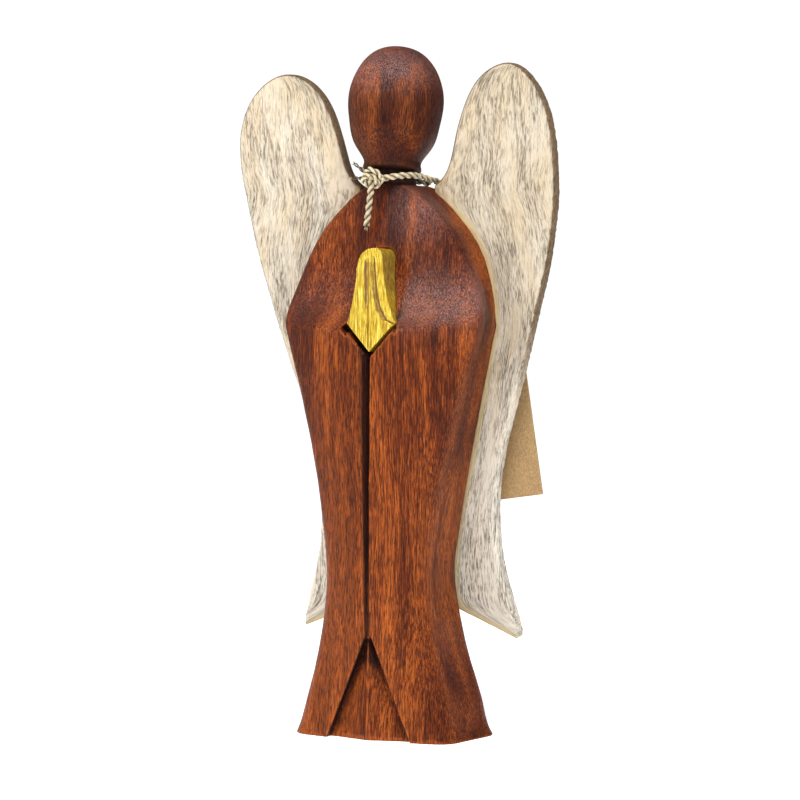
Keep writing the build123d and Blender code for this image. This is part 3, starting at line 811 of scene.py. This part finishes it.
# ---- twine -----------------------------------------------------------------------------------
# routes listed in millimetres: the neck strands with the hanging tail, and the tag's strands
NECK_LEFT = [(9.4, 14.5, 240.3), (8.4, 12.4, 241.6), (3.6, 10.9, 241.8), (-3.4, 10.2, 242.1),
             (-9.9, 6.0, 242.5), (-12.4, -1.4, 242.9), (-10.9, -10.2, 242.6), (-5.4, -16.2, 242.4),
             (-3.4, -18.2, 241.0), (-3.6, -18.0, 238.2), (-4.8, -17.7, 230.0), (-6.4, -17.0, 221.2)]
NECK_RIGHT = [(-1.2, -16.0, 241.0), (4.6, -14.6, 242.2), (10.4, -9.4, 243.0), (12.7, -2.2, 242.9),
              (14.8, 4.4, 241.5), (15.8, 10.4, 241.4), (14.6, 14.5, 240.3)]
TAG_STRANDS = [(9.4, 15.9, 238.0), (12.6, 18.5, 218.0), (17.6, 19.7, 200.4), (23.0, 20.6, 188.48),
               (23.0, 20.6, 182.4), (23.0, 27.0, 182.4), (23.0, 27.0, 188.48), (20.4, 26.2, 199.4),
               (17.6, 21.9, 218.0), (14.6, 15.9, 238.0)]
KNOT_TURNS = [(-7.4, -15.4, 243.0), (-5.8, -18.6, 245.6), (-1.4, -18.8, 244.6), (0.8, -16.6, 241.6),
              (-1.2, -14.8, 238.6), (-5.0, -16.2, 237.9), (-7.8, -18.4, 240.0), (-5.6, -19.8, 243.0),
              (-1.6, -19.2, 241.8), (-0.4, -17.4, 238.4), (-3.0, -15.2, 237.7)]
LOOSE_ENDS = [[(-5.4, -16.6, 242.6), (-8.8, -17.2, 245.8), (-12.0, -16.4, 247.8)],
              [(-5.6, -16.8, 240.6), (-9.6, -17.4, 242.2), (-12.8, -16.6, 241.8)]]


def smooth_line(points_mm):
    """Points at even steps along a NURBS curve that follows the listed route, and its length."""
    data = bpy.data.curves.new("route", "CURVE")
    data.dimensions = "3D"
    spline = data.splines.new("NURBS")
    spline.points.add(len(points_mm) - 1)
    for point, (x, y, z) in zip(spline.points, points_mm):
        point.co = (x * MM, y * MM, z * MM, 1.0)
    spline.order_u = 3
    spline.use_endpoint_u = True
    spline.resolution_u = 24
    carrier = bpy.data.objects.new("route", data)
    mesh = bpy.data.meshes.new_from_object(carrier)
    line = np.array([v.co[:] for v in mesh.vertices])
    bpy.data.objects.remove(carrier)
    bpy.data.meshes.remove(mesh)
    steps = np.linalg.norm(np.diff(line, axis=0), axis=1)
    run = np.concatenate([[0.0], np.cumsum(steps)])
    count = max(6, int(run[-1] / (0.45 * MM)))
    even = np.linspace(0.0, run[-1], count)
    return np.stack([np.interp(even, run, line[:, axis]) for axis in range(3)], axis=1), run[-1]


def travelling_frames(line):
    """Two unit vectors across the line at each point, that don't spin on their own."""
    tangents = np.gradient(line, axis=0)
    tangents /= np.linalg.norm(tangents, axis=1)[:, None]
    across = np.zeros_like(line)
    start = np.cross(tangents[0], (0.0, 0.0, 1.0))
    if np.linalg.norm(start) < 0.2:
        start = np.cross(tangents[0], (1.0, 0.0, 0.0))
    across[0] = start / np.linalg.norm(start)
    for i in range(1, len(line)):
        moved = across[i - 1] - tangents[i] * np.dot(across[i - 1], tangents[i])
        across[i] = moved / np.linalg.norm(moved)
    return across, np.cross(tangents, across)


def tube(line, radii, sides):
    """Vertices and faces of a closed tube round a line."""
    across, upward = travelling_frames(line)
    angles = (np.arange(sides) * 2 * math.pi / sides)[None, :, None]
    ring = np.cos(angles) * across[:, None, :] + np.sin(angles) * upward[:, None, :]
    verts = line[:, None, :] + ring * np.asarray(radii)[:, None, None]
    count = len(line)
    faces = []
    for i in range(count - 1):
        for j in range(sides):
            k = (j + 1) % sides
            faces.append((i * sides + j, i * sides + k, (i + 1) * sides + k, (i + 1) * sides + j))
    faces.append(tuple(reversed(range(sides))))
    faces.append(tuple((count - 1) * sides + j for j in range(sides)))
    return verts.reshape(-1, 3), faces


def twisted(line, total, diameter, pitch, seed, taper=0.0):
    """Two plies wound round a line, with a little unevenness."""
    across, upward = travelling_frames(line)
    run = np.linspace(0.0, total, len(line))
    made = []
    for ply in (0, 1):
        angle = 2 * math.pi * run / pitch + ply * math.pi + seed
        uneven = 1 + 0.06 * np.sin(run * 2900 + seed + ply)
        size = 1 - taper * np.clip((run - total + 5 * MM) / (5 * MM), 0, 1)
        off = 0.250 * diameter * uneven
        centre = line + (np.cos(angle)[:, None] * across + np.sin(angle)[:, None] * upward) * off[:, None]
        made.append((centre, 0.275 * diameter * uneven * size))
    return made


def strand_mesh(name, tubes, line, sides=10):
    """One mesh of several tubes; marks painted shade in the creases between plies, and the way the fibres
    run.
    """
    verts, faces, strand = [], [], []
    for index, (centre, radii) in enumerate(tubes):
        ring_points, ring_faces = tube(centre, radii, sides)
        base = sum(len(v) for v in verts)
        verts.append(ring_points)
        faces += [tuple(base + i for i in face) for face in ring_faces]
        run = np.concatenate([[0.0], np.cumsum(np.linalg.norm(np.diff(centre, axis=0), axis=1))]) * 1000
        turn = np.tile(np.cos(np.arange(sides) * 2 * math.pi / sides), len(centre))
        strand.append(np.stack([turn + index * 3.7, np.repeat(run, sides), np.zeros(len(turn))], axis=1))
    mesh = bpy.data.meshes.new(name)
    mesh.from_pydata([tuple(v) for v in np.concatenate(verts)], [], faces)
    obj = bpy.data.objects.new(name, mesh)
    bpy.context.collection.objects.link(obj)
    select_only(obj)
    bpy.ops.object.shade_smooth()
    layer = mesh.attributes.new("strand", "FLOAT_VECTOR", "POINT")
    layer.data.foreach_set("vector", np.ascontiguousarray(np.concatenate(strand), dtype=np.float32).ravel())
    points = read_points(obj)
    nearest = np.min([np.linalg.norm(points - p, axis=1) for p in line], axis=0)
    widest = np.percentile(nearest, 97)
    # the crease mask: painted shade nearest the twine's middle line, where the plies meet
    add_mask(obj, "crease", np.clip(1.45 - nearest / widest * 1.55, 0, 1))
    return obj


def frayed(tip, direction, count, reach, seed):
    """Loose fibres that fan out of a twine's cut end."""
    made = []
    for i in range(count):
        spread = noise.random_unit_vector() * 0.62
        heading = (Vector(direction).normalized() + spread).normalized()
        droop = Vector((0, 0, -0.25))
        stretch = reach * (0.6 + 0.4 * ((i * 37 + seed) % 10) / 10)
        line = np.array([Vector(tip) + heading * stretch * t + droop * stretch * t * t
                         for t in np.linspace(0.0, 1.0, 7)])
        made.append((line, np.linspace(0.17 * MM, 0.06 * MM, 7)))
    return made


class ANGEL_OT_neck_twine(bpy.types.Operator):
    """Twine round the neck: two strands, the knot, the hanging tail and the short frayed ends"""
    bl_idname = "angel.neck_twine"
    bl_label = "Neck twine"

    def execute(self, context):
        sizes = context.scene.angel_sizes
        noise.seed_set(7)
        thick = sizes.twine_diameter
        knot_line, knot_length = smooth_line(KNOT_TURNS)
        tubes = twisted(knot_line, knot_length, thick * 0.86, sizes.twine_pitch, 0.4)
        knot = strand_mesh("knot", tubes, knot_line)
        finish_piece(knot, "twine", "figure", "twine_knot")

        tubes, centre = [], []
        for index, route in enumerate(LOOSE_ENDS):
            line, run = smooth_line(route)
            tubes += twisted(line, run, thick * 0.72, sizes.twine_pitch, 1.0 + index, taper=0.5)
            tubes += frayed(line[-1], line[-1] - line[-4], 9, 2.6 * MM, index)
            centre.append(line)
        ends = strand_mesh("loose_ends", tubes, np.concatenate(centre), sides=7)
        finish_piece(ends, "twine", "figure", "twine_ends")

        left_line, left_run = smooth_line(NECK_LEFT)
        tubes = twisted(left_line, left_run, thick, sizes.twine_pitch, 0.0)
        tubes += frayed(left_line[-1], left_line[-1] - left_line[-4], 12, 2.0 * MM, 3)
        left = strand_mesh("neck_strand_left", tubes, left_line)
        finish_piece(left, "twine", "figure", "twine_left", "twine_tail")

        right_line, right_run = smooth_line(NECK_RIGHT)
        tubes = twisted(right_line, right_run, thick, sizes.twine_pitch, 2.1)
        right = strand_mesh("neck_strand_right", tubes, right_line)
        finish_piece(right, "twine", "figure", "twine_right")
        return {"FINISHED"}


class ANGEL_OT_tag_twine(bpy.types.Operator):
    """The doubled twine that carries the tag down the back"""
    bl_idname = "angel.tag_twine"
    bl_label = "Tag twine"

    def execute(self, context):
        sizes = context.scene.angel_sizes
        line, run = smooth_line(TAG_STRANDS)
        tubes = twisted(line, run, sizes.twine_diameter, sizes.twine_pitch, 0.7)
        strands = strand_mesh("tag_strands", tubes, line)
        finish_piece(strands, "twine", "tag_string", "tag_twine")
        return {"FINISHED"}


class ANGEL_OT_card_tag(bpy.types.Operator):
    """Plain kraft card tag: finish only"""
    bl_idname = "angel.card_tag"
    bl_label = "Card tag"

    def execute(self, context):
        finish_node("card_tag", "kraft_card")
        return {"FINISHED"}


# ---- stage -----------------------------------------------------------------------------------
def aim(obj, target):
    direction = Vector(target) - obj.location
    obj.rotation_euler = direction.to_track_quat("-Z", "Y").to_euler()


def area_light(name, place, width, height, power):
    data = bpy.data.lights.new(name, "AREA")
    data.shape = "RECTANGLE"
    data.size = width
    data.size_y = height
    data.energy = power
    lamp = bpy.data.objects.new(name, data)
    lamp.location = place
    bpy.context.collection.objects.link(lamp)
    aim(lamp, LAMP_TARGET)


class ANGEL_OT_stage(bpy.types.Operator):
    """Pale floor, soft studio lights and the camera"""
    bl_idname = "angel.stage"
    bl_label = "Stage"

    def execute(self, context):
        self.floor(context)
        self.world(context)
        area_light("key", (-0.70, -0.95, 0.75), 0.40, 0.40, 8.5)
        area_light("overhead", (0.22, -0.42, 1.05), 0.36, 0.26, 7.5)
        area_light("fill", (1.15, -0.75, 0.45), 0.3, 0.8, 3.0)
        self.camera(context)
        return {"FINISHED"}

    def floor(self, context):
        """A pale floor that glows a little more far away, so that it meets the backdrop unseen."""
        bpy.ops.object.select_all(action="DESELECT")
        bpy.ops.mesh.primitive_plane_add(size=FLOOR_SIZE, location=(0, 0, 0))
        floor = context.active_object
        floor.name = "floor"
        made = bpy.data.materials.new("pale_floor")
        made.use_nodes = True
        tree = made.node_tree
        shader = tree.nodes["Principled BSDF"]
        shader.inputs["Base Color"].default_value = FLOOR_GREY
        shader.inputs["Roughness"].default_value = 0.8
        shader.inputs["Specular IOR Level"].default_value = 0.1
        shader.inputs["Emission Color"].default_value = (1.0, 1.0, 1.0, 1.0)
        spot = new_node(tree, "ShaderNodeTexCoord").outputs["Object"]
        reach = new_node(tree, "ShaderNodeVectorMath", {0: spot}, operation="LENGTH").outputs["Value"]
        glow = ramp(tree, maths(tree, "MULTIPLY", reach, 0.5), [(0.08, 0.80), (0.40, 1.06)])
        tree.links.new(glow, shader.inputs["Emission Strength"])
        floor.data.materials.append(made)

    def world(self, context):
        """A white backdrop that lights the figure only softly."""
        world = bpy.data.worlds.new("studio")
        context.scene.world = world
        world.use_nodes = True
        tree = world.node_tree
        seen = new_node(tree, "ShaderNodeLightPath").outputs["Is Camera Ray"]
        tree.links.new(mix_rgba(tree, seen, ROOM_GLOW, BACKDROP), tree.nodes["Background"].inputs["Color"])
        context.scene.view_settings.view_transform = "Standard"

    def camera(self, context):
        data = bpy.data.cameras.new("camera")
        data.sensor_width = 36.0
        data.lens = CAMERA_LENS
        camera = bpy.data.objects.new("camera", data)
        camera.location = (CAMERA_DISTANCE * math.sin(CAMERA_TURN), -CAMERA_DISTANCE * math.cos(CAMERA_TURN),
                           CAMERA_HEIGHT)
        context.collection.objects.link(camera)
        aim(camera, CAMERA_TARGET)
        context.scene.camera = camera


class ANGEL_PT_panel(bpy.types.Panel):
    """Lists the angel's pieces"""
    bl_idname = "ANGEL_PT_panel"
    bl_label = "Carved angel"
    bl_space_type = "VIEW_3D"
    bl_region_type = "UI"
    bl_category = "Angel"

    def draw(self, context):
        for operator in OPERATORS:
            self.layout.operator(operator.bl_idname)
        for group_name in ("angel_sizes", "angel_colours"):
            settings = getattr(context.scene, group_name)
            for key in settings.__annotations__:
                self.layout.prop(settings, key)


OPERATORS = (ANGEL_OT_figure, ANGEL_OT_hands, ANGEL_OT_wings, ANGEL_OT_dowels, ANGEL_OT_neck_twine,
             ANGEL_OT_tag_twine, ANGEL_OT_card_tag, ANGEL_OT_stage)
CLASSES = (AngelSizes, AngelColours, *OPERATORS, ANGEL_PT_panel)


def register():
    for cls in CLASSES:
        bpy.utils.register_class(cls)
    bpy.types.Scene.angel_sizes = bpy.props.PointerProperty(type=AngelSizes)
    bpy.types.Scene.angel_colours = bpy.props.PointerProperty(type=AngelColours)


def unregister():
    del bpy.types.Scene.angel_colours
    del bpy.types.Scene.angel_sizes
    for cls in reversed(CLASSES):
        bpy.utils.unregister_class(cls)


def main():
    register()
    for operator in OPERATORS:
        family, action = operator.bl_idname.split(".")
        getattr(getattr(bpy.ops, family), action)()


if __name__ == "__main__":
    main()
